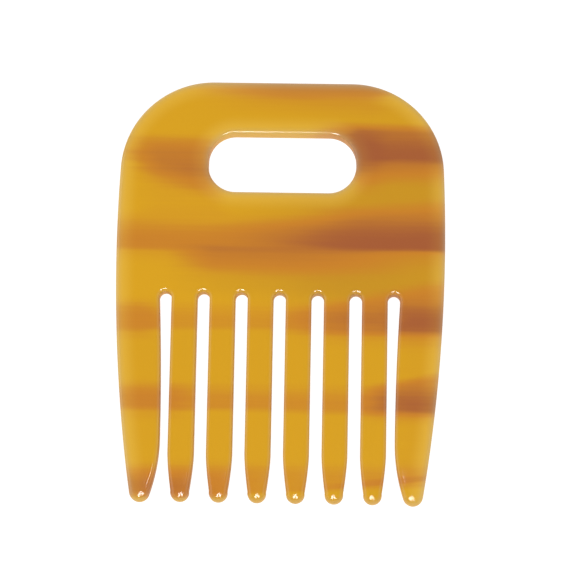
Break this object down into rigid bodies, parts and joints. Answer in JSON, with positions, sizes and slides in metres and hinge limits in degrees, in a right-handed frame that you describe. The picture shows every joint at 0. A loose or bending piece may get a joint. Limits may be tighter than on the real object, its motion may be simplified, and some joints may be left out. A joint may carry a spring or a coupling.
{
  "type": "hair comb",
  "caption": "Flat wide-tooth hair comb with a broad rounded back, a finger slot and thick ball-ended teeth.",
  "frame": {"origin": "centre of the back face that the comb lies on", "axes": "+X across the teeth, +Y along the comb from the tips to the back, +Z out of the front face"},
  "size_m": [0.0864, 0.112, 0.005],
  "materials": {
    "acetate": "polished cellulose acetate, translucent honey amber with soft red-brown streaks across the comb"
  },
  "bodies": {
    "root": {"comb": "acetate"}
  },
  "joints": []
}
